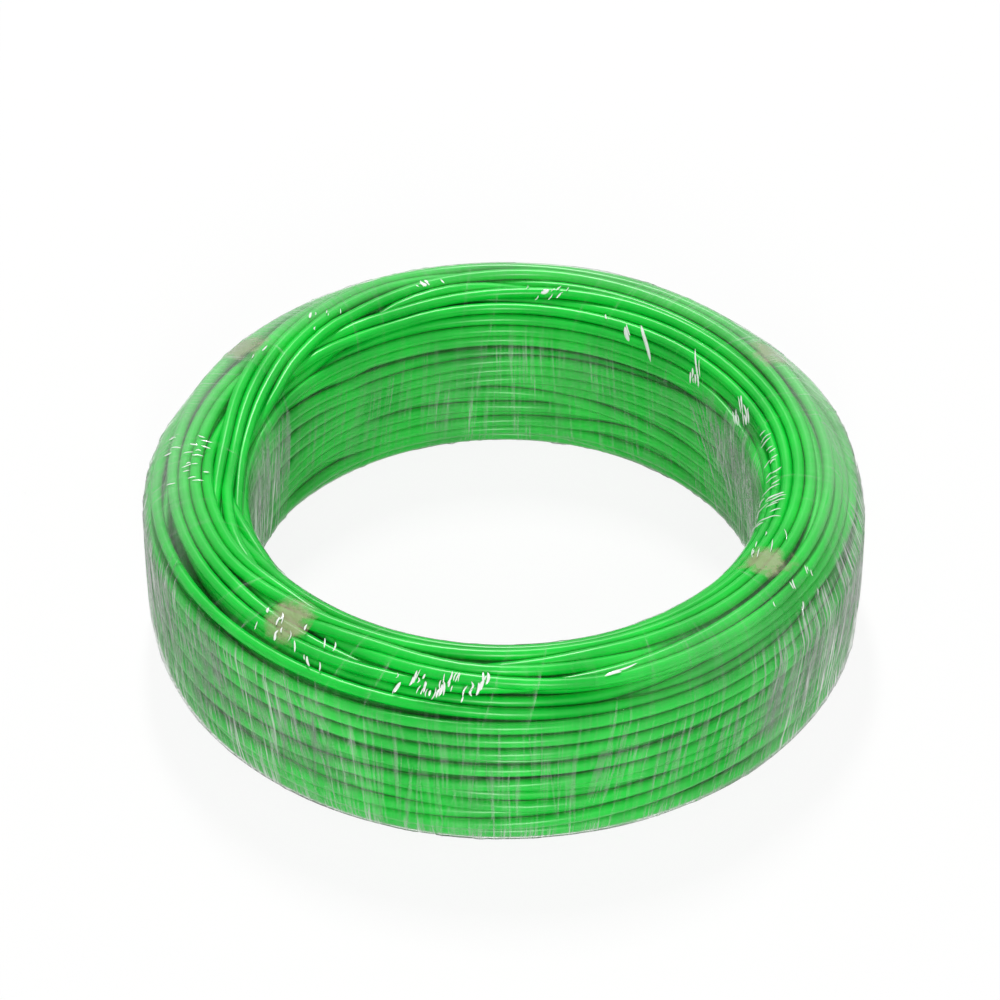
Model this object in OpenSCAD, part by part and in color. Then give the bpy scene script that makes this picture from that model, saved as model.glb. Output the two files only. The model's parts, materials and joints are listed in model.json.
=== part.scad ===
// Coil of single-core wire without a drum, held by four tape ties and wrapped in stretch film.
// Millimetres, +Z up. The origin is the centre of the underside, on the axis of the eye.

/* [Packed coil] */
// Outer diameter, over the film
packed_d = 170; // [160:1:200]
// Diameter of the eye, inside the film
eye_d = 119; // [90:1:124]
// Height, over the film
packed_h = 48; // [40:1:60]
// Radius of the two rounded top edges, over the film
shoulder_r = 11.5; // [8:0.5:12]
// Radius of the two rounded bottom edges, over the film
heel_r = 9; // [6:0.5:10]

/* [Wire] */
// Diameter over the insulation
wire_d = 2.8; // [2:0.1:3.4]
// Diameter of the solid copper conductor
conductor_d = 1.4; // [0.8:0.1:1.8]
// How far the conductor stands out of each cut end
conductor_proud = 0.8; // [0.4:0.1:2]
// Smallest gap left between neighbouring turns of the outer layer
turn_gap = 0.7; // [0.6:0.1:2]
// Most turns drawn in the outer layer
most_turns = 24; // [12:1:24]

/* [Ties and film] */
// Width of a tie along the coil
tape_w = 11; // [6:1:20]
// Thickness of a tie
tape_t = 0.2; // [0.1:0.05:0.5]
// Thickness of the wrapped film
film_t = 0.3; // [0.15:0.05:0.6]
// Height up to which the film gathers on the outer wall
skirt_h = 12; // [10:1:22]

/* [Hidden] */
$fn = 180;

// Where each tie sits round the coil, in degrees from +X
tie_angles = [32, 145, 230, 328];
// The wire starts on the wall of the eye at this angle and ends on the outer wall, opposite
wire_start_at = 270;
// Rings of points to one turn of wire, and sides of the wire
rings = 24;
wire_sides = 6;

packed_r = packed_d / 2;
eye_r = eye_d / 2;
wire_r = wire_d / 2;
// A straight stretch between two rings passes this share of the radius nearer to the axis
chord = cos(180 / rings);

// The winding lies inside the film and the ties
lay_in = film_t + tape_t;
// Width of the flat that two rounded corners of a section leave between them at the least
least_flat = 0.02;

// Track of the wire's centre across the section: up the eye wall, over the top, down the outer wall
track_in = (eye_r + lay_in + wire_r) / chord;
track_out = packed_r - lay_in - wire_r;
track_top = packed_h - lay_in - wire_r;
track_r = min(shoulder_r - lay_in - wire_r, (track_out - track_in) / 2);
// The lowest turns rest on a ledge level with the top of the bottom rounding, and the plain core
// inside them starts half way up to it
ledge_z = heel_r;
core_foot = ledge_z / 2;
track_low = ledge_z + wire_r;
wall_run = track_top - track_r - track_low;
arc_run = 90 * PI / 180 * track_r;
flat_run = track_out - track_in - 2 * track_r;
track_run = 2 * wall_run + 2 * arc_run + flat_run;

// Half a turn less than a whole number puts the two cut ends on opposite sides
whole_turns = min(most_turns, floor(track_run / (wire_d + turn_gap)));
wound_turns = whole_turns - 0.5;
last_ring = wound_turns * rings;

// Point of the track at distance s: [radius, height, outward direction in degrees]
function track(s) =
    s < wall_run
        ? [track_in, track_low + s, 180]
    : s < wall_run + arc_run
        ? shoulder(track_in + track_r, 180 - 90 * (s - wall_run) / arc_run)
    : s < wall_run + arc_run + flat_run
        ? [track_in + track_r + s - wall_run - arc_run, track_top, 90]
    : s < wall_run + 2 * arc_run + flat_run
        ? shoulder(track_out - track_r, 90 - 90 * (s - wall_run - arc_run - flat_run) / arc_run)
        : [track_out, track_low + track_run - s, 0];

function shoulder(centre, turn) =
    [centre + track_r * cos(turn), track_top - track_r + track_r * sin(turn), turn];

// Angle round the coil, place and outward direction of ring i of the wire
function ring_angle(i) = wire_start_at + 360 * i / rings;
function ring_place(i) =
    let (t = track(track_run * i / last_ring))
    [t[0] * cos(ring_angle(i)), t[0] * sin(ring_angle(i)), t[1]];
function ring_out(i) =
    let (turn = track(track_run * i / last_ring)[2])
    [cos(turn) * cos(ring_angle(i)), cos(turn) * sin(ring_angle(i)), sin(turn)];

function unit(v) = v / norm(v);

// Angle that a width takes up round the coil, measured at the middle of its section
function coil_angle(width) = width / ((packed_r + eye_r) / 2) * 180 / PI;

wire_line = [for (i = [0:last_ring]) ring_place(i)];

// Direction of the wire at ring i; the first and last stretches are straight to their cut faces
function wire_way(i) =
    i == 0 ? unit(wire_line[1] - wire_line[0])
    : i == last_ring ? unit(wire_line[i] - wire_line[i - 1])
    : unit(unit(wire_line[i + 1] - wire_line[i]) + unit(wire_line[i] - wire_line[i - 1]));

// Corners of the wire's section at ring i, the first one facing out of the winding
function ring_corners(i) =
    let (way = wire_way(i), side = unit(cross(way, ring_out(i))), out = cross(side, way))
    [for (k = [0:wire_sides - 1])
        wire_line[i] + wire_r * (cos(360 * k / wire_sides) * out + sin(360 * k / wire_sides) * side)];

// Least distance between the surfaces of turns that lie next to each other
least_gap = min([for (i = [0:last_ring - rings / 2])
    min([for (j = [i + rings / 2:last_ring]) norm(wire_line[i] - wire_line[j])])]) - wire_d;
echo(turns = wound_turns, least_gap_between_turns = least_gap);

// Section of a ring of wire: rounded corners, with a narrow flat left between the two at the least
module section(inner, outer, low, high, top_r, foot_r) {
    largest_r = (outer - inner - least_flat) / 2;
    top = min(top_r, largest_r);
    foot = min(foot_r, largest_r);
    translate([inner, low + foot]) square([outer - inner, high - top - low - foot]);
    translate([inner + top, low + foot]) square([outer - inner - 2 * top, high - low - foot]);
    translate([inner + foot, low]) square([outer - inner - 2 * foot, high - top - low]);
    translate([inner + top, high - top]) circle(top);
    translate([outer - top, high - top]) circle(top);
    translate([inner + foot, low + foot]) circle(foot);
    translate([outer - foot, low + foot]) circle(foot);
}

// The packed outline, drawn in all round by inset
module packed_section(inset) {
    section(eye_r + inset, packed_r - inset, inset, packed_h - inset, shoulder_r - inset, heel_r - inset);
}

module inner_turns() {
    core_in = track_in + wire_r;
    core_out = track_out * chord - wire_r;
    core_top = track_top - wire_r;
    core_r = track_r - wire_r;
    color([0.05, 0.42, 0.14])
    rotate_extrude() {
        section(core_in, core_out, core_foot, core_top, core_r, core_foot);
        intersection() {
            packed_section(lay_in);
            translate([eye_r, 0]) square([packed_r - eye_r, ledge_z]);
        }
    }
}

module outer_turns() {
    corners = [for (i = [0:last_ring]) each ring_corners(i)];
    ends = [wire_line[0], wire_line[last_ring]];
    first_cap = len(corners);
    sides = [for (i = [0:last_ring - 1], k = [0:wire_sides - 1])
        let (a = i * wire_sides + k, b = i * wire_sides + (k + 1) % wire_sides)
        each [[a, a + wire_sides, b], [b, a + wire_sides, b + wire_sides]]];
    caps = [for (k = [0:wire_sides - 1])
        let (next = (k + 1) % wire_sides, last = last_ring * wire_sides)
        each [[first_cap, k, next], [first_cap + 1, last + next, last + k]]];
    color([0.12, 0.78, 0.24])
    polyhedron(concat(corners, ends), concat(sides, caps));
}

// One conductor end standing on a cut face, along the way the wire points
module conductor_end(face, way) {
    translate(face)
    rotate([0, acos(way[2]), atan2(way[1], way[0])])
    cylinder(h = conductor_proud, d = conductor_d);
}

module conductor_ends() {
    color([0.80, 0.45, 0.25]) {
        conductor_end(wire_line[0], -wire_way(0));
        conductor_end(wire_line[last_ring], wire_way(last_ring));
    }
}

module tape_tie(middle_angle) {
    wide_angle = coil_angle(tape_w);
    color([0.80, 0.76, 0.64])
    rotate([0, 0, middle_angle - wide_angle / 2])
    rotate_extrude(angle = wide_angle)
    difference() {
        packed_section(film_t);
        packed_section(lay_in);
    }
}

// Where the film is one clear layer, drawn in tight on the turns, with no thickness of its own to
// model: from the top of the eye wall, over the top, down to the skirt
module clear_stretch() {
    middle_r = (eye_r + packed_r) / 2;
    translate([eye_r - film_t, packed_h - shoulder_r])
        square([middle_r - eye_r + film_t, shoulder_r + film_t]);
    translate([middle_r, skirt_h])
        square([packed_r - middle_r + film_t, packed_h - skirt_h + film_t]);
}

// The film where its wraps gather in layers: a sleeve in the eye, the underside and a skirt
module film_wrap() {
    color([0.93, 0.97, 0.94, 0.35])
    rotate_extrude()
    difference() {
        packed_section(0);
        packed_section(film_t);
        clear_stretch();
    }
}

inner_turns();
outer_turns();
conductor_ends();
tape_tie(tie_angles[0]);  // tape_tie_1
tape_tie(tie_angles[1]);  // tape_tie_2
tape_tie(tie_angles[2]);  // tape_tie_3
tape_tie(tie_angles[3]);  // tape_tie_4
film_wrap();
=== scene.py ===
"""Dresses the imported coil: one real length of green wire, four tape ties and the stretch film."""

import json
import math

import bpy
import numpy as np
from bpy.props import FloatProperty, FloatVectorProperty, IntProperty, PointerProperty
from bpy.types import Operator, Panel, PropertyGroup
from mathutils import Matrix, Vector


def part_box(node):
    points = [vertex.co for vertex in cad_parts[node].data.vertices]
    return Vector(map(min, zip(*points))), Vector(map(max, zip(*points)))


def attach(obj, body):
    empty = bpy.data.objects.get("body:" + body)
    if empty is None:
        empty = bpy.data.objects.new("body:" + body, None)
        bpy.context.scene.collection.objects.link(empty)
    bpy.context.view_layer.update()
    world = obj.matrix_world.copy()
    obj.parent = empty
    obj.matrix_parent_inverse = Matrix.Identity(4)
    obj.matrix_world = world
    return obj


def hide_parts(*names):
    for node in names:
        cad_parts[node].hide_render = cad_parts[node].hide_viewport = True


bl_info = {
    "name": "Wrapped wire coil",
    "version": (1, 0, 0),
    "blender": (4, 5, 0),
    "location": "View3D > Sidebar > Coil",
    "description": "Lays the wire, ties and film of a wrapped coil round its packed frame",
    "category": "Object",
}

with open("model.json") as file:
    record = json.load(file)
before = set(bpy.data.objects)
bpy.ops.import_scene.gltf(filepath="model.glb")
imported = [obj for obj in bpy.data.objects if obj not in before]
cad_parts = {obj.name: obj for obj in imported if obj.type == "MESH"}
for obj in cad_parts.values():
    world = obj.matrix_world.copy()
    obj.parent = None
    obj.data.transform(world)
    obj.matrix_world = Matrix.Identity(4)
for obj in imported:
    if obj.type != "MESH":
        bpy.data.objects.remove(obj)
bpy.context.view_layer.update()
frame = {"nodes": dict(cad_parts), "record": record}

MM = 0.001
TURN = 2 * math.pi

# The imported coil, read from the frame
EYE_R = next(m for m in frame["record"]["mounts"] if m["name"] == "eye")["dims"]["r_mm"] * MM
PACKED_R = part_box("film_wrap")[1].x
TURNS_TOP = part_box("outer_turns")[1].z
# Its rounded edges at the top and the bottom, and what film and tape take up over the turns
SHOULDER_R = 11.5 * MM
HEEL_R = 9 * MM
LAY_IN = 0.5 * MM
# The solids' wire is straight between two rings, and there this share of its radius from the axis
CHORD = math.cos(TURN / 48)
# Girth of the section along its outline, radius of the bundle's middle, widths of tape and film
GIRTH = 132 * MM
BUNDLE_R = 72 * MM
TAPE_W = 11 * MM


def linear(code):
    """A colour written as an sRGB hex code, turned to linear light."""
    levels = [int(code[i:i + 2], 16) / 255 for i in (1, 3, 5)]
    return [c / 12.92 if c <= 0.04045 else ((c + 0.055) / 1.055) ** 2.4 for c in levels]


def rgba(code):
    return (*linear(code), 1.0)


def add(tree, kind, inputs=(), **settings):
    """Adds one node with its settings, and links or sets its inputs by name or number."""
    node = tree.nodes.new(kind)
    for name, value in settings.items():
        setattr(node, name, value)
    for socket, value in dict(inputs).items():
        if isinstance(value, bpy.types.NodeSocket):
            tree.links.new(value, node.inputs[socket])
        else:
            node.inputs[socket].default_value = value
    return node


def new_material(name):
    """An empty node material, with its tree and its output node."""
    material = bpy.data.materials.new(name)
    material.use_nodes = True
    material.node_tree.nodes.clear()
    return material, material.node_tree, add(material.node_tree, "ShaderNodeOutputMaterial")


# ---------------------------------------------------------------- settings


class WireSettings(PropertyGroup):
    diameter: FloatProperty(name="Diameter", description="Over the insulation", default=2.8 * MM,
                            unit="LENGTH", precision=4)
    turns: FloatProperty(name="Turns", description="Turns in the whole coil", default=111.5)
    layers: IntProperty(name="Layers", description="Layers from the eye to the outer wall", default=9)
    stations: IntProperty(name="Stations", description="Points to one turn", default=96)
    seed: IntProperty(name="Seed", description="Picks how the turns wander", default=7)
    colour: FloatVectorProperty(name="Colour", description="Colour of the insulation",
                                subtype="COLOR", size=3, default=linear("#00CB38"))


class FilmSettings(PropertyGroup):
    wraps: IntProperty(name="Wraps", description="Times the strip goes through the eye", default=14)
    overlap: FloatProperty(name="Overlap", description="Width past the next wrap's start, as a share "
                           "of the way between wraps", default=0.28)
    lift: FloatProperty(name="Lift", description="How far a wrap rises over the one before",
                        default=0.12 * MM, unit="LENGTH", precision=4)
    steps: IntProperty(name="Steps", description="Mesh steps to one wrap", default=84)
    columns: IntProperty(name="Columns", description="Mesh steps across the strip", default=70)
    folds: IntProperty(name="Folds", description="How many small folds it has", default=620)
    seed: IntProperty(name="Seed", description="Picks where the folds lie", default=3)


class TieSettings(PropertyGroup):
    colour: FloatVectorProperty(name="Colour", description="Colour of the tape", subtype="COLOR",
                                size=3, default=linear("#BDB190"))


class StageSettings(PropertyGroup):
    elevation: FloatProperty(name="Elevation", description="Camera's height above the coil",
                             subtype="ANGLE", default=math.radians(39.7))
    distance: FloatProperty(name="Distance", description="From the camera to the coil",
                            default=1.02, unit="LENGTH")
    lens: FloatProperty(name="Lens", description="Focal length in millimetres", default=154.9)


# ---------------------------------------------------------------- the wire's route


# Share of the turns that the first and the last layer get, and what stays of it for the last one
LAYER_SHARES = (1.12, 0.92)
LAST_LAYER = 0.78
# Turns that a change of layer takes, on each side of the change
CHANGE = 0.2
# Drift of the turns: turns from one heading to the next, and how far across and up in millimetres
DRIFTS = ((0.5, 1.1, 2.6), (0.23, 0.5, 1.1))


def section_limits(wire_r):
    """Where the wire's centre may lie in the section: the walls and the two corner radii."""
    return {
        "inner": EYE_R + LAY_IN + wire_r,
        "outer": PACKED_R - LAY_IN - wire_r,
        "low": LAY_IN + wire_r,
        "high": TURNS_TOP - wire_r,
        "top_r": SHOULDER_R - LAY_IN - wire_r,
        "foot_r": HEEL_R - LAY_IN - wire_r,
    }


def keep_inside(points, limits):
    """Brings points that left the rounded section back to its edge."""
    lowest = (limits["inner"], limits["low"])
    highest = (limits["outer"], limits["high"])
    points = np.clip(points, lowest, highest)
    corners = (
        (limits["high"] - limits["top_r"], 1, limits["top_r"]),
        (limits["low"] + limits["foot_r"], -1, limits["foot_r"]),
    )
    for height, up, radius in corners:
        for side in (-1, 1):
            wall = limits["outer"] if side > 0 else limits["inner"]
            centre = np.array((wall - side * radius, height))
            away = points - centre
            far = np.hypot(away[:, 0], away[:, 1])
            outside = (away[:, 0] * side > 0) & (away[:, 1] * up > 0) & (far > radius)
            edge = centre + away * (radius / np.maximum(far, radius))[:, None]
            points = np.where(outside[:, None], edge, points)
    return points


def wander(count, step, size, random):
    """A slow random drift along the wire, with a new heading every step points."""
    knots = random.normal(size=(int(count / step) + 4, 2))
    place = np.arange(count) / step
    before = place.astype(int)
    blend = (place - before)
    blend = (blend * blend * (3 - 2 * blend))[:, None]
    return ((1 - blend) * knots[before] + blend * knots[before + 1]) * size


def layer_starts(wire):
    """Turn number at which each layer starts; the last one is the loosest."""
    share = np.linspace(*LAYER_SHARES, wire.layers)
    share[-1] *= LAST_LAYER
    return np.concatenate(([0], np.cumsum(share / share.sum() * wire.turns)))


def wound_layers(wire, limits, random):
    """First guess of the route: layer on layer, up and down in turn, with each turn wandering."""
    stations = wire.stations
    count = round(wire.turns * stations) + 1
    turn = np.arange(count) / stations
    starts = layer_starts(wire)
    layer = np.clip(np.searchsorted(starts, turn, side="right") - 1, 0, wire.layers - 1)
    along = (turn - starts[layer]) / np.diff(starts)[layer]
    along = np.where(layer % 2 == 0, along, 1 - along)
    radii = np.linspace(limits["inner"], limits["outer"], wire.layers)
    knots = np.sort(np.concatenate((starts[1:-1] - CHANGE, starts[1:-1] + CHANGE, (0, wire.turns))))
    radius = np.interp(turn, knots, np.repeat(radii, 2))

    def rounding(corner):
        near_wall = np.minimum(radius - limits["inner"], limits["outer"] - radius)
        depth = np.clip(corner - near_wall, 0, corner)
        return corner - np.sqrt(corner ** 2 - depth ** 2)

    low = limits["low"] + rounding(limits["foot_r"])
    high = limits["high"] - rounding(limits["top_r"])
    points = np.stack((radius, low + along * (high - low)), axis=1)
    for reach, across, up in DRIFTS:
        points += wander(count, reach * stations, (across * MM, up * MM), random)
    return points, layer


# Stretches of wire led to given places: the turn, counted from the start of a layer, and the places it
# passes as (azimuth in degrees, radius, height in millimetres). They lie over the others and run
# down from the outer shoulder to the inner one on the left; the last one fills the outer shoulder.
LED = [
    (7, -1.0, [(96, 81.5, 42), (118, 77, 46), (138, 71, 46),
               (155, 66, 45), (172, 63, 42), (196, 62, 39)]),
    (7, 0.0, [(100, 79, 45), (122, 74, 46), (142, 68, 46),
              (160, 64, 43.5), (178, 62, 40), (200, 61.5, 36)]),
    (7, 1.0, [(92, 82.6, 39), (114, 79.6, 44), (134, 74, 46),
              (152, 69, 46), (170, 65.5, 44.5), (190, 64, 43)]),
    (5, 0.0, [(86, 76, 46), (108, 72, 46), (130, 66, 45),
              (150, 62.5, 41), (170, 61.5, 36), (190, 61.4, 33)]),
    (5, 1.0, [(90, 73, 46), (112, 68, 46), (134, 63, 42),
              (154, 61.6, 37), (176, 61.4, 32), (194, 61.4, 29)]),
    (7, 2.0, [(150, 79.6, 38), (180, 81.6, 41.2), (240, 81.6, 41.2), (270, 79.6, 39)]),
]
# Furrows between turns: azimuths from and to, radii from and to, height and half width
FURROWS = [
    (48, 126, 60, 65, 31.5, 2.4),
    (-97, -58, 80, 84, 27.0, 2.4),
]
# Degrees over which a led stretch and a furrow fade in, and how hard a furrow pushes
LED_EASE = 24
FURROW_EASE = 10
FURROW_PUSH = 0.3


def lead(points, wire, starts, angle, pull):
    """Draws the led stretches towards their places, and the rest out of the furrows."""
    stations = wire.stations
    for layer, offset, places in LED:
        azimuth, radius, height = np.array(places).T
        first = round(starts[layer] + offset) * stations
        step = np.arange(stations)
        at = np.degrees(angle[first + step]) % 360
        near = (at >= azimuth[0]) & (at <= azimuth[-1])
        index = first + step[near]
        at = at[near]
        ease = np.clip(np.minimum(at - azimuth[0], azimuth[-1] - at) / LED_EASE, 0, 1)
        goal = np.stack((np.interp(at, azimuth, radius), np.interp(at, azimuth, height)), axis=1)
        points[index] += (goal * MM - points[index]) * (pull * ease)[:, None]
    bearing = (np.degrees(angle) + 180) % 360 - 180
    lap = (np.arange(len(angle)) + stations // 4) // stations
    for start, end, inner, outer, middle, half in FURROWS:
        ease = np.clip(np.minimum(bearing - start, end - bearing) / FURROW_EASE, 0, 1)
        off = points[:, 1] / MM - middle
        side = np.sign(np.bincount(lap, off * ease))[lap]
        inside = (points[:, 0] > inner * MM) & (points[:, 0] < outer * MM) & (np.abs(off) < half)
        points[:, 1] += np.where(inside, side * (half - off * side) * ease * FURROW_PUSH * MM, 0)


# Stations over which the wire is held straight towards its cut ends
END_REACH = 5
# How hard the wire is smoothed: while it is loose, at all times, at sharp bends, and at the most
SMOOTH_LOOSE = 0.6
SMOOTH_LEAST = 0.16
SMOOTH_SHARP = 0.5
SMOOTH_MOST = 0.8
# How hard the led stretches are drawn to their places: while the wire is loose, and at all times
LEAD_LOOSE = 0.5
LEAD_LEAST = 0.05
# Distance at which turns no longer touch, in diameters, and how hard they part: where they touch, and
# while they are loose and short of room
CLEAR = 1.005
PART_TOUCHING = 0.45
PART_LOOSE = 0.03
# Sideways step from station to station at which two turns count as crossing
CROSSING = 0.25 * MM
# Bend at a station that counts as sharp
SHARP_BEND = 0.12 * MM
# Drift in a round, in millimetres: outwards, of the last layer and of the others, and of all
# towards top and bottom
LAST_DRIFT = 0.035
INNER_DRIFT = -0.022
SPREAD = 0.02
# In diameters: how near turns are before they are looked at, and the room that turns of the last
# layer and all others look for while they are loose
NEAR = 1.7
LAST_ROOM = 1.42
ROOM = 1.12
# Rounds from one search for near turns to the next
SEARCH_EVERY = 8


def parting(between, crossing):
    """Way in which two turns part: straight away from each other, or, where they cross, one over the
    other, the later turn farther out."""
    speed = np.hypot(crossing[:, 0], crossing[:, 1]) + 1e-9
    along = crossing / speed[:, None]
    share = np.clip(speed / CROSSING, 0, 1)
    passed = (between * along).sum(1) * share
    way = between - along * passed[:, None]
    over = np.stack((along[:, 1], -along[:, 0]), axis=1)
    over *= np.where((way * over).sum(1) < 0, -1, 1)[:, None]
    way += over * (CROSSING * share)[:, None]
    return way / (np.hypot(way[:, 0], way[:, 1]) + 1e-9)[:, None]


def settle(points, layer, wire, limits, angle, rounds=300):
    """Pushes turns that overlap apart, keeps them inside the film and smooths the wire between."""
    stations, gap = wire.stations, wire.diameter
    starts = layer_starts(wire)
    count = len(points)
    rows = -(-count // stations)
    ends = points[[0, -1]].copy()
    reach = np.arange(4 * END_REACH)
    hold = np.exp(-(reach / END_REACH) ** 2)[:, None]
    spare = np.arange(rows * stations - count)[:, None] + 1e3
    upper = np.triu(np.ones((rows, rows), bool), 1)[:, :, None]
    last = layer == wire.layers - 1
    drift = np.where(last, LAST_DRIFT * MM, INNER_DRIFT * MM)
    middle = (limits["low"] + limits["high"]) / 2
    for number in range(rounds):
        loose = 1 - number / rounds
        for _ in range(3):
            to_line = (points[:-2] + points[2:]) / 2 - points[1:-1]
            sharp = np.clip(np.hypot(to_line[:, 0], to_line[:, 1]) / SHARP_BEND - 1, 0, 1)
            much = SMOOTH_LOOSE * loose + SMOOTH_LEAST + SMOOTH_SHARP * sharp
            points[1:-1] += to_line * np.minimum(much, SMOOTH_MOST)[:, None]
        points[:, 0] += drift * loose
        points[:, 1] += (points[:, 1] - middle) / middle * SPREAD * MM * loose
        lead(points, wire, starts, angle, LEAD_LOOSE * loose + LEAD_LEAST)
        points[reach] += (ends[0] - points[reach]) * hold
        points[-1 - reach] += (ends[1] - points[-1 - reach]) * hold
        if number % SEARCH_EVERY == 0:
            grid = np.concatenate((points, np.repeat(spare, 2, axis=1))).reshape(rows, stations, 2)
            apart = ((grid[:, None] - grid[None]) ** 2).sum(-1)
            one, other, station = np.nonzero((apart < (NEAR * gap) ** 2) & upper)
            one, other = one * stations + station, other * stations + station
            room = gap * np.where(last[one] & last[other], LAST_ROOM, ROOM)
        bend = np.gradient(points, axis=0)
        for _ in range(3):
            between = points[one] - points[other]
            far = np.hypot(between[:, 0], between[:, 1]) + 1e-9
            overlap = np.clip(gap * CLEAR - far, 0, None)
            push = overlap * PART_TOUCHING + np.clip(room - far, 0, None) * PART_LOOSE * loose
            move = parting(between, bend[one] - bend[other]) * push[:, None]
            touching = np.bincount(one, overlap > 0, count) + np.bincount(other, overlap > 0, count)
            for axis in (0, 1):
                total = np.bincount(one, move[:, axis], count) - np.bincount(other, move[:, axis], count)
                points[:, axis] += total / np.maximum(1, touching * 0.6)
            points = keep_inside(points, limits)
            points[[0, -1]] = ends
    return points


def lay_wire(wire):
    """The whole route in the section (radius, height), and its azimuth, point by point."""
    random = np.random.default_rng(wire.seed)
    limits = section_limits(wire.diameter / 2)
    points, layer = wound_layers(wire, limits, random)
    angle = -TURN / 4 + TURN * np.arange(len(points)) / wire.stations
    start_z = HEEL_R + wire.diameter / 2
    points[0] = (limits["inner"] / CHORD, start_z)
    points[-1] = (limits["outer"], start_z)
    return settle(points, layer, wire, limits, angle), angle


ROUTE = {}


def route(wire):
    """The route, worked out once for the wire, the ties and the film."""
    if not ROUTE:
        ROUTE["points"], ROUTE["angle"] = lay_wire(wire)
    return ROUTE["points"], ROUTE["angle"]


# ---------------------------------------------------------------- wire


def insulation_material(colour):
    """PVC insulation, extruded: smooth, glossy and saturated, with slow changes of tone and soft
    dents."""
    material, tree, out = new_material("extruded_pvc")
    place = add(tree, "ShaderNodeTexCoord").outputs["Object"]
    tone = add(tree, "ShaderNodeTexNoise", {"Vector": place, "Scale": 1 / (14 * MM), "Detail": 2.0})
    shade = add(tree, "ShaderNodeValToRGB", {"Fac": tone.outputs["Fac"]})
    shade.color_ramp.elements[0].position = 0.3
    shade.color_ramp.elements[0].color = [c * 0.84 for c in colour] + [1]
    shade.color_ramp.elements[1].position = 0.7
    shade.color_ramp.elements[1].color = [c * 1.12 for c in colour] + [1]
    dents = add(tree, "ShaderNodeTexNoise", {"Vector": place, "Scale": 1 / (1.2 * MM), "Detail": 3.0})
    bump = add(tree, "ShaderNodeBump", {"Height": dents.outputs["Fac"], "Strength": 0.12,
                                        "Distance": 0.05 * MM})
    rough = add(tree, "ShaderNodeMapRange", {"Value": tone.outputs["Fac"],
                                             "To Min": 0.24, "To Max": 0.34})
    pvc = add(tree, "ShaderNodeBsdfPrincipled", {
        "Base Color": shade.outputs["Color"], "Roughness": rough.outputs["Result"],
        "IOR": 1.53, "Specular IOR Level": 0.3, "Normal": bump.outputs["Normal"]})
    tree.links.new(pvc.outputs["BSDF"], out.inputs["Surface"])
    return material


class COIL_OT_wire(Operator):
    """Lay the whole wire as one cord, turn on turn"""
    bl_idname = "coil.wire"
    bl_label = "Wire"

    def execute(self, context):
        wire = context.scene.coil_wire
        points, angle = route(wire)
        curve = bpy.data.curves.new("wire", "CURVE")
        curve.dimensions = "3D"
        curve.bevel_depth = wire.diameter / 2
        curve.bevel_resolution = 2
        curve.use_fill_caps = True
        spline = curve.splines.new("POLY")
        spline.points.add(len(points) - 1)
        radius, height = points.T
        places = np.stack((radius * np.cos(angle), radius * np.sin(angle), height,
                           np.ones_like(angle)), axis=1)
        spline.points.foreach_set("co", places.ravel().astype(np.float32))
        spline.use_smooth = True
        piece = bpy.data.objects.new("wire", curve)
        context.scene.collection.objects.link(piece)
        curve.materials.append(insulation_material(wire.colour))
        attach(piece, "root")
        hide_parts("inner_turns", "outer_turns")
        return {"FINISHED"}


def copper_material():
    """Drawn copper, cut with pliers: warm metal with a fine grain."""
    material, tree, out = new_material("drawn_copper")
    place = add(tree, "ShaderNodeTexCoord").outputs["Object"]
    grain = add(tree, "ShaderNodeTexNoise", {"Vector": place, "Scale": 1 / (0.15 * MM), "Detail": 4.0})
    rough = add(tree, "ShaderNodeMapRange", {"Value": grain.outputs["Fac"],
                                             "To Min": 0.22, "To Max": 0.42})
    bump = add(tree, "ShaderNodeBump", {"Height": grain.outputs["Fac"], "Strength": 0.2,
                                        "Distance": 0.02 * MM})
    metal = add(tree, "ShaderNodeBsdfPrincipled", {
        "Base Color": rgba("#C9794F"), "Metallic": 1.0, "Roughness": rough.outputs["Result"],
        "Normal": bump.outputs["Normal"]})
    tree.links.new(metal.outputs["BSDF"], out.inputs["Surface"])
    return material


class COIL_OT_copper_ends(Operator):
    """Finish the copper that stands out of the wire's two cut ends"""
    bl_idname = "coil.copper_ends"
    bl_label = "Copper ends"

    def execute(self, context):
        piece = frame["nodes"]["conductor_ends"]
        piece.data.materials.clear()
        piece.data.materials.append(copper_material())
        return {"FINISHED"}


# ---------------------------------------------------------------- skins that lie over the wire


def outline(wire, across=130):
    """Tight outline of the turns as a grid of (radius, height), at every station of the route.

    A row starts under the coil and runs up the outer wall, over the top and down the eye.
    """
    points, _ = route(wire)
    spare = -len(points) % wire.stations
    grid = np.concatenate((points, np.repeat(points[-1:], spare, axis=0)))
    grid = grid.reshape(-1, wire.stations, 2)
    bearings = 360
    heading = -TURN / 4 + TURN * np.arange(bearings) / bearings
    way = np.stack((np.cos(heading), np.sin(heading)))
    reach = np.tensordot(grid, way, axes=(2, 0)).max(0) + wire.diameter / 2
    slope = (np.roll(reach, -1, axis=1) - np.roll(reach, 1, axis=1)) / (2 * TURN / bearings)
    radius = reach * way[0] - slope * way[1]
    height = reach * way[1] + slope * way[0]
    rows = []
    for r, z in zip(radius, height):
        r, z = np.append(r, r[0]), np.append(z, z[0])
        run = np.concatenate(([0], np.cumsum(np.hypot(np.diff(r), np.diff(z)))))
        at = np.arange(across) / across * run[-1]
        rows.append(np.stack((np.interp(at, run, r), np.interp(at, run, z)), axis=1))
    return np.array(rows)


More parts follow.
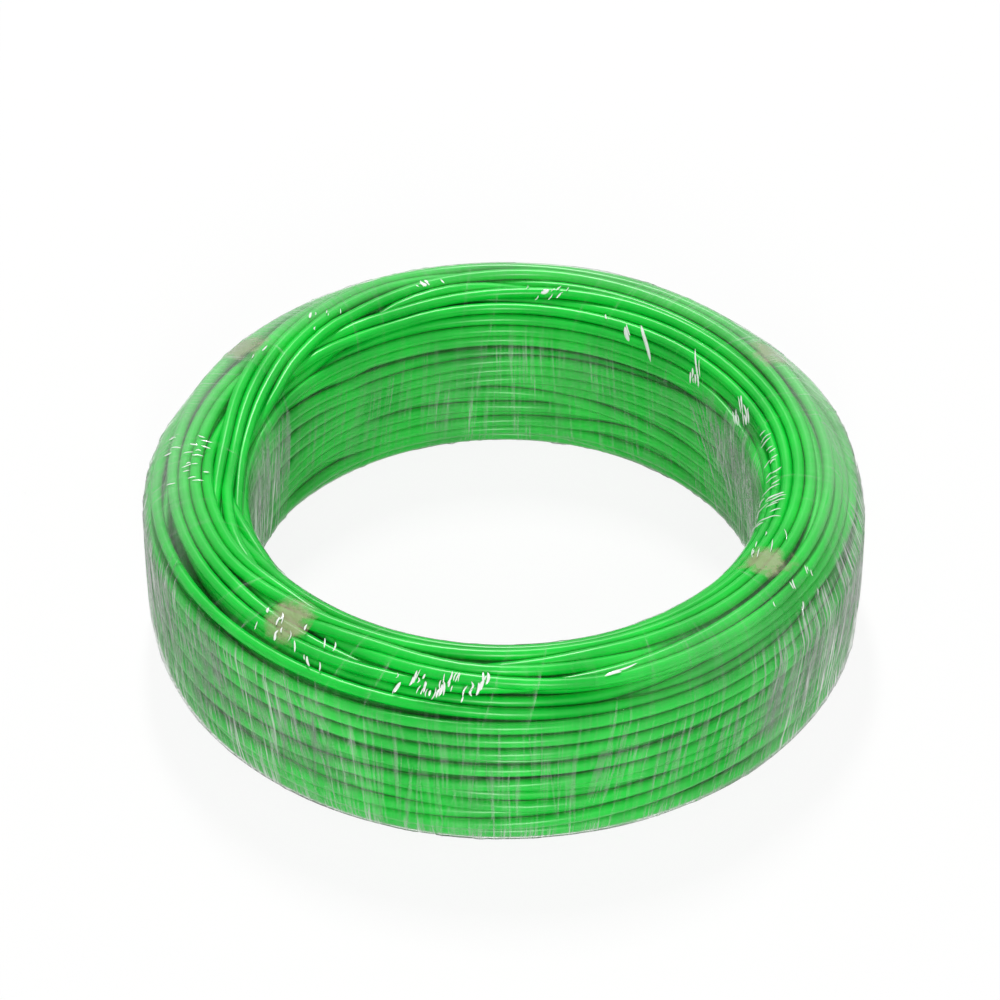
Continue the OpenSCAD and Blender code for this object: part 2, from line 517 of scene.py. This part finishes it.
def on_outline(skin, angle, share):
    """Point (radius, height) and outward direction of the outline at an angle and a share of the
    girth."""
    stations, across = skin.shape[:2]
    along = np.roll(skin, -1, axis=1) - np.roll(skin, 1, axis=1)
    along /= np.linalg.norm(along, axis=2, keepdims=True)
    both = np.concatenate((skin, np.stack((along[..., 1], -along[..., 0]), axis=2)), axis=2)
    u = ((angle + TURN / 4) / TURN * stations) % stations
    v = (share % 1) * across
    i, j = u.astype(int) % stations, v.astype(int) % across
    a, b = (u - i)[..., None] % 1, (v - j)[..., None] % 1
    a = a * a * (3 - 2 * a)
    i_next, j_next = (i + 1) % stations, (j + 1) % across
    found = ((both[i, j] * (1 - a) + both[i_next, j] * a) * (1 - b)
             + (both[i, j_next] * (1 - a) + both[i_next, j_next] * a) * b)
    return found[..., :2], found[..., 2:]


def flat_map(grid, size):
    """UV map in metres for a grid that is laid out flat at that size."""
    rows, columns = grid.shape
    across = np.linspace(0, size[0], columns)
    along = np.linspace(0, size[1], rows)
    return np.stack(np.meshgrid(across, along), axis=2)


def patch_of(angle, section, uv, **maps):
    """One patch of a sheet: places, a UV map and float attributes, all as grids."""
    radius, height = section[..., 0], section[..., 1]
    places = np.stack((radius * np.cos(angle), radius * np.sin(angle), height), axis=2)
    return {"places": places, "uv": uv,
            "maps": {title: values + 0 * angle for title, values in maps.items()}}


def skin_piece(name, patches):
    """A sheet made of patches, each a grid of its own."""
    faces, count = [], 0
    for patch in patches:
        rows, columns = patch["places"].shape[:2]
        number = count + np.arange(rows * columns).reshape(rows, columns)
        faces.append(np.stack((number[:-1, :-1], number[:-1, 1:], number[1:, 1:], number[1:, :-1]),
                              axis=2).reshape(-1, 4))
        count += rows * columns
    faces = np.concatenate(faces)

    def joined(grids):
        return np.concatenate([grid.reshape(-1, *grid.shape[2:]) for grid in grids])

    mesh = bpy.data.meshes.new(name)
    mesh.from_pydata(joined([p["places"] for p in patches]).tolist(), [], faces.tolist())
    mesh.polygons.foreach_set("use_smooth", [True] * len(faces))
    uv = joined([p["uv"] for p in patches])[faces.ravel()]
    mesh.uv_layers.new(name="UVMap").data.foreach_set("uv", uv.ravel().astype(np.float32))
    for title in patches[0]["maps"]:
        values = joined([p["maps"][title] for p in patches])
        attribute = mesh.attributes.new(title, "FLOAT", "POINT")
        attribute.data.foreach_set("value", values.astype(np.float32))
    mesh.update()
    piece = bpy.data.objects.new(name, mesh)
    bpy.context.scene.collection.objects.link(piece)
    return piece


# ---------------------------------------------------------------- film


def small_folds(film, angle, share, random):
    """Height of the small folds at every point of the film, as a share of the tallest."""
    height = np.zeros(angle.shape)
    for _ in range(film.folds):
        at = random.uniform(0, TURN)
        middle = random.choice((0.25, 0.8)) + random.normal() * 0.12
        reach = random.uniform(0.06, 0.2)
        slant = random.normal() * 0.12
        wide = random.uniform(0.006, 0.014)
        tall = random.uniform(0.2, 1.0)
        along = (share - middle + 0.5) % 1 - 0.5
        fade = np.clip(1 - (along / reach) ** 2, 0, 1)
        off = (angle - at - slant * along + math.pi) % TURN - math.pi
        height += tall * fade ** 2 * np.exp(-(off / wide) ** 2)
    return np.clip(height, 0, 1.4)


# Where the film gathers and turns milky: bearing and half width in degrees, on which part of the
# section, and how dense it is
GATHERS = [
    (184, 30, "outer", 0.55),
    (-12, 46, "outer", 0.5),
    (-140, 38, "outer", 0.2),
    (166, 18, "eye", 0.55),
    (14, 28, "eye", 0.5),
    (90, 75, "eye", 0.05),
    (40, 40, "crest", 0.32),
    (140, 40, "crest", 0.36),
    (90, 45, "crest", 0.14),
    (5, 40, "crest", 0.28),
    (178, 36, "crest", 0.24),
    (-50, 30, "crest", 0.08),
]
# How milky it is where it lies plain, on the walls and at the foot, and how much of the crest's milk
# shows in streaks and as an even veil
PLAIN_HAZE = 0.006
WALL_HAZE = 0.06
FOOT_HAZE = 0.25
CREST_STREAKS = 0.3
CREST_VEIL = 0.65
# Height or radius in millimetres at which that sets in, and over which distance it does
OUTER_EDGE = (40.5, 3.5)
EYE_EDGE = (42, 10)
CREST_EDGE = (69, 9)
FOOT_EDGE = (10, 6)
# Milkiness of a small fold and of the strip's two rims, and width of a rim as a share of the strip
FOLD_HAZE = 0.015
RIM_HAZE = 0.1
RIM = 0.008
# In millimetres: how far the film lies off the turns, how far a small fold rises, and the slack that
# it has at the foot, with the height and half height of that
CLEARANCE = 0.1
FOLD_RISE = 0.2
FOOT_SLACK = 0.35
FOOT_AT = 5
FOOT_HALF = 4
# Pleats, in groups: bearing in degrees, share of the girth, half width in degrees, half length as a
# share of the girth, how many, their length and largest half width in millimetres, lean in degrees
# and how white they are. The groups with a whiteness of 8 are painted glints: opaque white slivers
# put where small creases would catch the lamps. The fainter groups are milky streaks in the film.
PLEATS_AND_PAINTED_GLINTS = [
    (128, 0.52, 5, 0.02, 6, 1.8, 0.4, 40, 8),
    (146, 0.50, 3, 0.01, 2, 3.5, 0.35, 80, 8),
    (180, 0.47, 8, 0.04, 20, 2.4, 0.25, 8, 8),
    (105, 0.51, 3, 0.01, 8, 1.8, 0.45, -30, 8),
    (82, 0.54, 1, 0.003, 3, 2.2, 0.9, 60, 8),
    (80, 0.54, 6, 0.015, 10, 1.6, 0.4, 30, 8),
    (66, 0.57, 1, 0.005, 1, 2.8, 0.5, -30, 8),
    (60, 0.585, 1, 0.005, 2, 6.5, 0.7, -38, 8),
    (56, 0.595, 0, 0.0, 1, 11.0, 1.0, -41, 8),
    (41, 0.59, 1, 0.005, 2, 9.0, 0.7, -39, 8),
    (40, 0.61, 2, 0.01, 5, 2.5, 0.4, -30, 8),
    (22, 0.60, 3, 0.02, 12, 4.0, 0.4, -55, 8),
    (4, 0.57, 10, 0.03, 12, 3.5, 0.3, 5, 8),
    (-12, 0.58, 7, 0.03, 14, 5.5, 0.35, 5, 8),
    (-27, 0.53, 4, 0.03, 7, 4.0, 0.35, 70, 8),
    (-34, 0.42, 6, 0.03, 9, 2.0, 0.3, 20, 8),
    (-127, 0.45, 8, 0.03, 16, 2.4, 0.35, -20, 8),
    (-100, 0.435, 8, 0.02, 36, 2.4, 0.4, 10, 8),
    (-72, 0.458, 3, 0.01, 2, 5.0, 0.4, 88, 8),
    (24, 0.71, 15, 0.04, 50, 26, 0.4, -33, 0.7),
    (160, 0.72, 10, 0.04, 36, 24, 0.4, 6, 0.7),
    (187, 0.27, 22, 0.05, 54, 22, 0.4, -8, 0.45),
    (-14, 0.27, 32, 0.05, 120, 25, 0.4, 14, 0.5),
    (-55, 0.25, 22, 0.06, 80, 23, 0.4, 9, 0.27),
    (-112, 0.25, 33, 0.06, 50, 20, 0.4, 0, 0.2),
    (-142, 0.26, 24, 0.06, 90, 24, 0.4, -13, 0.34),
]
# In millimetres: least half width of a pleat, how far it bows, its distance from the turns and the
# height of its ridge
LEAST_PLEAT = 0.12
PLEAT_BOW = 0.2
PLEAT_LIFT = 0.32
PLEAT_RIDGE = 0.2
# How far the pull in the film leans at the sides of the coil, and where the middle of the outer wall
# lies as a share of the girth
PULL_LEAN = math.radians(14)
WALL_SHARE = 0.27


def swell(off, half):
    """A smooth bump, one in the middle and nought from half on."""
    return np.clip(1 - (off / half) ** 2, 0, 1) ** 2


def gathers(angle, section):
    """How milky the film is at every point, in streaks on the walls and as an even veil on the crest."""
    radius, height = section[..., 0] / MM, section[..., 1] / MM
    outer = radius > (EYE_R + PACKED_R) / 2 / MM
    starts = [(edge - height) / over for edge, over in (OUTER_EDGE, EYE_EDGE)]
    wall = np.clip(np.where(outer, *starts), 0, 1)
    crest = np.clip((radius - CREST_EDGE[0]) / CREST_EDGE[1], 0, 1)
    foot = np.clip((FOOT_EDGE[0] - height) / FOOT_EDGE[1], 0, 1)
    sides = {"outer": wall * outer, "eye": wall * ~outer, "crest": (1 - wall) * crest}
    haze = PLAIN_HAZE + WALL_HAZE * wall + FOOT_HAZE * foot * outer
    veil = 0 * haze
    for bearing, half, where, dense in GATHERS:
        off = (np.degrees(angle) - bearing + 180) % 360 - 180
        milk = dense * swell(off, half) * sides[where]
        haze += milk * (CREST_STREAKS if where == "crest" else 1)
        veil += milk * (CREST_VEIL if where == "crest" else 0)
    return haze, veil


def pull_lines(angle, along, share):
    """UV map whose second axis follows the pull in the film: down the walls and, left and right, in
    towards the front of the foot."""
    lean = math.tan(PULL_LEAN) * np.cos(angle) * GIRTH / TURN * np.sin(TURN * (share - WALL_SHARE))
    return np.stack((BUNDLE_R * angle - lean, along * GIRTH + 0 * angle), axis=2)


def pleats_and_painted_glints(skin, random):
    """Small folds pinched into the film: slivers, each with a ridge, that show white. The whitest are
    painted glints, opaque white in place of a reflection of the lamps; the others are milky streaks.
    """
    for bearing, share, half, spread, count, length, widest, lean, white in PLEATS_AND_PAINTED_GLINTS:
        for _ in range(count):
            at = math.radians(bearing + half * random.uniform(-1, 1))
            place = share + spread * random.uniform(-1, 1)
            long = length * MM * random.uniform(0.5, 1.3)
            wide = (LEAST_PLEAT + (widest - LEAST_PLEAT) * random.uniform() ** 2) * MM
            # A short pleat leans more freely than a long one
            turned = math.radians(lean + random.normal() * (1.5 + 11 / length))
            along, across = np.meshgrid(np.linspace(-1, 1, 9), (-1, 0, 1), indexing="ij")
            taper = np.sqrt(1 - along ** 2 * 0.98)
            bow = across * wide * taper + (1 - along ** 2) * PLEAT_BOW * MM * random.normal()
            run = along * long / 2
            shares = place + (run * math.cos(turned) - bow * math.sin(turned)) / GIRTH
            angle = at + (run * math.sin(turned) + bow * math.cos(turned)) / BUNDLE_R
            section, outward = on_outline(skin, angle, shares)
            ridge = (1 - np.abs(across)) * taper
            section = section + outward * (PLEAT_LIFT * MM + PLEAT_RIDGE * MM * ridge)[..., None]
            uv = flat_map(angle, (2 * wide, long))
            # The whiteness goes into the haze and peaks along the ridge. On the glint groups it is a
            # painted highlight, on the others milk in the film.
            yield patch_of(angle, section, uv, haze=white * (0.25 + 0.75 * ridge), veil=0, crease=1)


def film_material():
    """Stretch film, blown polyethylene in several laps: clear, glossy, milky where it gathers."""
    material, tree, out = new_material("stretch_film")
    uv = add(tree, "ShaderNodeUVMap", uv_map="UVMap").outputs["UV"]
    # haze is the film's milkiness. On the pleat slivers it also holds their painted glints, which pass
    # one and show opaque white.
    haze = add(tree, "ShaderNodeAttribute", attribute_name="haze").outputs["Fac"]
    veil = add(tree, "ShaderNodeAttribute", attribute_name="veil").outputs["Fac"]
    crease = add(tree, "ShaderNodeAttribute", attribute_name="crease").outputs["Fac"]

    def streaks(across, along, turned):
        """Noise drawn out along the film, turned by some degrees."""
        scaled = add(tree, "ShaderNodeMapping", {
            "Vector": uv, "Rotation": (0, 0, math.radians(turned)),
            "Scale": (across * MM, along * MM, 1)}, vector_type="TEXTURE")
        return add(tree, "ShaderNodeTexNoise", {"Vector": scaled.outputs["Vector"], "Scale": 1.0,
                                                "Detail": 3.0, "Roughness": 0.6}).outputs["Fac"]

    one = streaks(0.55, 34, 1)
    other = streaks(0.8, 26, -2)
    cloud = streaks(6, 30, 0)
    fine = add(tree, "ShaderNodeMath", {0: one, 1: other}, operation="MAXIMUM").outputs["Value"]
    lines = add(tree, "ShaderNodeMapRange", {"Value": fine, "From Min": 0.53, "From Max": 0.78,
                                             "To Min": 0.3, "To Max": 3.6})
    patch = add(tree, "ShaderNodeMapRange", {"Value": cloud, "From Min": 0.35, "From Max": 0.65,
                                             "To Min": 0.7, "To Max": 1.25})
    both = add(tree, "ShaderNodeMath", {0: lines.outputs["Result"], 1: patch.outputs["Result"]},
               operation="MULTIPLY")
    cover = add(tree, "ShaderNodeMath", {0: both.outputs["Value"], 1: haze, 2: veil},
                operation="MULTIPLY_ADD", use_clamp=True)
    ripple = add(tree, "ShaderNodeBump", {"Height": fine, "Strength": 0.35, "Distance": 0.12 * MM})
    normal = ripple.outputs["Normal"]
    film = add(tree, "ShaderNodeBsdfPrincipled", {
        "Base Color": rgba("#EEF3EE"), "Roughness": 0.3, "IOR": 1.5, "Specular IOR Level": 0.2,
        "Alpha": cover.outputs["Value"], "Normal": normal})
    gloss = add(tree, "ShaderNodeBsdfGlossy", {"Color": (1, 1, 1, 1), "Roughness": 0.09,
                                               "Normal": normal})
    index = add(tree, "ShaderNodeMapRange", {"Value": crease, "To Min": 1.02, "To Max": 1.5})
    rim = add(tree, "ShaderNodeFresnel", {"IOR": index.outputs["Result"], "Normal": normal})
    shown = add(tree, "ShaderNodeMixShader", {0: rim.outputs["Fac"], 1: film.outputs["BSDF"],
                                              2: gloss.outputs["BSDF"]})
    tree.links.new(shown.outputs["Shader"], out.inputs["Surface"])
    return material


class COIL_OT_film(Operator):
    """Draw the stretch film tight over the turns, with its small folds and its pleat slivers, some of
    them painted glints
    """
    bl_idname = "coil.film"
    bl_label = "Film"

    def execute(self, context):
        film = context.scene.coil_film
        random = np.random.default_rng(film.seed)
        skin = outline(context.scene.coil_wire)
        turn = np.linspace(0, film.wraps, film.wraps * film.steps + 1)[:, None]
        side = np.linspace(0, 1, film.columns)[None]
        angle = TURN / film.wraps * (turn + side * (1 + film.overlap))
        share = turn % 1 + 0 * side
        section, outward = on_outline(skin, angle, share)
        fold = small_folds(film, angle, share, random)
        height = section[..., 1] / MM
        outer = section[..., 0] > (EYE_R + PACKED_R) / 2
        foot = np.clip(1 - ((height - FOOT_AT) / FOOT_HALF) ** 2, 0, 1) * outer
        lift = (CLEARANCE + FOLD_RISE * fold + FOOT_SLACK * foot) * MM + film.lift * (1 - side)
        section = section + outward * lift[..., None]
        rim = np.exp(-np.minimum(side, 1 - side) / RIM) + 0 * turn
        shared = film.overlap / (1 + film.overlap)
        ease = np.clip(np.minimum(side, 1 - side) / shared, 0, 1)
        haze, veil = gathers(angle, section)
        haze = (haze + FOLD_HAZE * fold) * ease + RIM_HAZE * rim
        uv = pull_lines(angle, turn, share)
        strip = patch_of(angle, section, uv, haze=haze, veil=veil * ease, crease=0)
        piece = skin_piece("stretch_film", [strip, *pleats_and_painted_glints(skin, random)])
        piece.data.materials.append(film_material())
        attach(piece, "root")
        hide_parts("film_wrap")
        return {"FINISHED"}


# ---------------------------------------------------------------- ties


def tape_material(colour):
    """Thin translucent tape, creased where it laps over itself: tan, and clear elsewhere."""
    material, tree, out = new_material("clear_tape")
    uv = add(tree, "ShaderNodeUVMap", uv_map="UVMap").outputs["UV"]
    patch = add(tree, "ShaderNodeAttribute", attribute_name="patch").outputs["Fac"]
    cloud = add(tree, "ShaderNodeTexNoise", {"Vector": uv, "Scale": 1 / (3 * MM), "Detail": 4.0})
    torn = add(tree, "ShaderNodeMath", {0: cloud.outputs["Fac"], 1: 1.2, 2: patch},
               operation="MULTIPLY_ADD")
    cover = add(tree, "ShaderNodeMapRange", {"Value": torn.outputs["Value"], "From Min": 0.95,
                                             "From Max": 1.4, "To Min": 0.01, "To Max": 0.5})
    bump = add(tree, "ShaderNodeBump", {"Height": cloud.outputs["Fac"], "Strength": 0.8,
                                        "Distance": 0.5 * MM})
    tape = add(tree, "ShaderNodeBsdfPrincipled", {
        "Base Color": (*colour, 1), "Roughness": 0.45, "Alpha": cover.outputs["Result"],
        "Normal": bump.outputs["Normal"]})
    tree.links.new(tape.outputs["BSDF"], out.inputs["Surface"])
    return material


# Where the creased lap of each tie lies, as a share of the girth
TIE_LAPS = (0.45, 0.455, 0.48, 0.52)
# Reach of the lap along the tie as a share of the girth, and across it in radians
LAP_ALONG = 0.055
LAP_ACROSS = 0.08
# Half width of a tie round the coil, in radians, and its distance from the turns in millimetres
TIE_HALF = 0.076
TAPE_LIFT = 0.05
# Mesh points round the section and across a tie
TIE_ROWS = 161
TIE_COLUMNS = 41


class COIL_OT_ties(Operator):
    """Wrap the four tape ties round the turns, under the film"""
    bl_idname = "coil.ties"
    bl_label = "Tape ties"

    def execute(self, context):
        skin = outline(context.scene.coil_wire)
        material = tape_material(context.scene.coil_ties.colour)
        for number, lap in enumerate(TIE_LAPS, 1):
            node = f"tape_tie_{number}"
            low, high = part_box(node)
            middle = math.atan2(low.y + high.y, low.x + high.x)
            share = np.linspace(0, 1, TIE_ROWS)[:, None]
            angle = middle + TIE_HALF * np.linspace(-1, 1, TIE_COLUMNS)[None] + 0 * share
            share = share + 0 * angle
            section, outward = on_outline(skin, angle, share)
            section = section + outward * TAPE_LIFT * MM
            patch = np.exp(-((share - lap) / LAP_ALONG) ** 2 - ((angle - middle) / LAP_ACROSS) ** 2)
            uv = flat_map(angle, (TAPE_W, GIRTH))
            piece = skin_piece(f"tape_{number}", [patch_of(angle, section, uv, patch=patch)])
            piece.data.materials.append(material)
            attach(piece, "root")
            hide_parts(node)
        return {"FINISHED"}


# ---------------------------------------------------------------- stage


# The camera looks past the middle of the coil by so many millimetres, up and to the left
AIM_UP = 8.2
AIM_LEFT = 1
# Lamps: name, place, size and power
LAMPS = (
    ("key", (-0.08, 0.9, 1.55), (0.16, 0.5), 22.5),
    ("front", (0.03, -1.1, 0.55), (0.12, 0.34), 6.9),
)
# Strength of the world on the coil, and share of the floor that glows to the camera; the rest of it
# takes the light and the coil's shadow
WORLD_LIGHT = 0.3
FLOOR_GLOW = 0.9


def aim(thing, target):
    """Turns a lamp or camera to look at a point."""
    away = thing.location - target
    thing.rotation_euler = away.to_track_quat("Z", "Y").to_euler()


class COIL_OT_camera(Operator):
    """Set the camera"""
    bl_idname = "coil.camera"
    bl_label = "Camera"

    def execute(self, context):
        stage = context.scene.coil_stage
        camera = bpy.data.objects.new("camera", bpy.data.cameras.new("camera"))
        context.scene.collection.objects.link(camera)
        camera.data.lens = stage.lens
        camera.data.sensor_width = 36
        camera.data.clip_start = 0.05
        middle = Vector((0, 0, TURNS_TOP / 2))
        back = Vector((0, -math.cos(stage.elevation), math.sin(stage.elevation)))
        up = Vector((0, math.sin(stage.elevation), math.cos(stage.elevation)))
        camera.location = middle + back * stage.distance
        aim(camera, middle + up * AIM_UP * MM - Vector((AIM_LEFT * MM, 0, 0)))
        context.scene.camera = camera
        return {"FINISHED"}


def sees_backdrop(tree):
    """One for the rays that show the backdrop: from the camera, and on through gloss or a clear skin."""
    path = add(tree, "ShaderNodeLightPath").outputs
    either = add(tree, "ShaderNodeMath", {0: path["Is Camera Ray"], 1: path["Is Glossy Ray"]},
                 operation="ADD", use_clamp=True)
    return add(tree, "ShaderNodeMath", {0: either.outputs["Value"], 1: path["Is Transmission Ray"]},
               operation="ADD", use_clamp=True).outputs["Value"]


def floor_material():
    """Matt white card: it shows white to the camera and keeps a soft shadow."""
    material, tree, out = new_material("white_card")
    card = add(tree, "ShaderNodeBsdfDiffuse", {"Color": rgba("#F4F4F2")})
    glow = add(tree, "ShaderNodeEmission", {"Color": (1, 1, 1, 1), "Strength": 1.0})
    seen = add(tree, "ShaderNodeMath", {0: sees_backdrop(tree), 1: FLOOR_GLOW}, operation="MULTIPLY")
    mix = add(tree, "ShaderNodeMixShader", {0: seen.outputs["Value"], 1: card.outputs["BSDF"],
                                            2: glow.outputs["Emission"]})
    tree.links.new(mix.outputs["Shader"], out.inputs["Surface"])
    return material


class COIL_OT_stage(Operator):
    """Set the floor, the lamps and the world"""
    bl_idname = "coil.stage"
    bl_label = "Stage"

    def execute(self, context):
        scene = context.scene
        bpy.ops.mesh.primitive_plane_add(size=20)
        floor = context.object
        floor.name = "floor"
        floor.data.materials.append(floor_material())
        for name, place, size, power in LAMPS:
            lamp = bpy.data.objects.new(name, bpy.data.lights.new(name, "AREA"))
            scene.collection.objects.link(lamp)
            lamp.data.energy = power
            lamp.data.shape = "RECTANGLE"
            lamp.data.size, lamp.data.size_y = size
            lamp.location = place
            aim(lamp, Vector((0, 0, 0)))
        world = bpy.data.worlds.new("studio")
        scene.world = world
        world.use_nodes = True
        sky = world.node_tree.nodes["Background"]
        sky.inputs["Color"].default_value = (1, 1, 1, 1)
        seen = add(world.node_tree, "ShaderNodeMapRange", {
            "Value": sees_backdrop(world.node_tree), "To Min": WORLD_LIGHT, "To Max": 1.0})
        world.node_tree.links.new(seen.outputs["Result"], sky.inputs["Strength"])
        scene.view_settings.view_transform = "Standard"
        return {"FINISHED"}


class COIL_PT_panel(Panel):
    """Lists the pieces of the coil"""
    bl_idname = "COIL_PT_panel"
    bl_label = "Wrapped coil"
    bl_space_type = "VIEW_3D"
    bl_region_type = "UI"
    bl_category = "Coil"

    def draw(self, context):
        for operator in OPERATORS:
            self.layout.operator(operator.bl_idname)
        for name in SETTINGS:
            settings = getattr(context.scene, name)
            box = self.layout.box()
            for prop in settings.bl_rna.properties:
                if prop.identifier not in ("rna_type", "name"):
                    box.prop(settings, prop.identifier)


SETTINGS = {"coil_wire": WireSettings, "coil_film": FilmSettings, "coil_ties": TieSettings,
            "coil_stage": StageSettings}
OPERATORS = (COIL_OT_camera, COIL_OT_wire, COIL_OT_copper_ends, COIL_OT_ties, COIL_OT_film,
             COIL_OT_stage)


def register():
    for cls in (*SETTINGS.values(), *OPERATORS, COIL_PT_panel):
        bpy.utils.register_class(cls)
    for name, cls in SETTINGS.items():
        setattr(bpy.types.Scene, name, PointerProperty(type=cls))


def unregister():
    for name in SETTINGS:
        delattr(bpy.types.Scene, name)
    for cls in (COIL_PT_panel, *reversed(OPERATORS), *SETTINGS.values()):
        bpy.utils.unregister_class(cls)


def main():
    register()
    bpy.ops.coil.camera()
    bpy.ops.coil.wire()
    bpy.ops.coil.copper_ends()
    bpy.ops.coil.ties()
    bpy.ops.coil.film()
    bpy.ops.coil.stage()


if __name__ == "__main__":
    main()
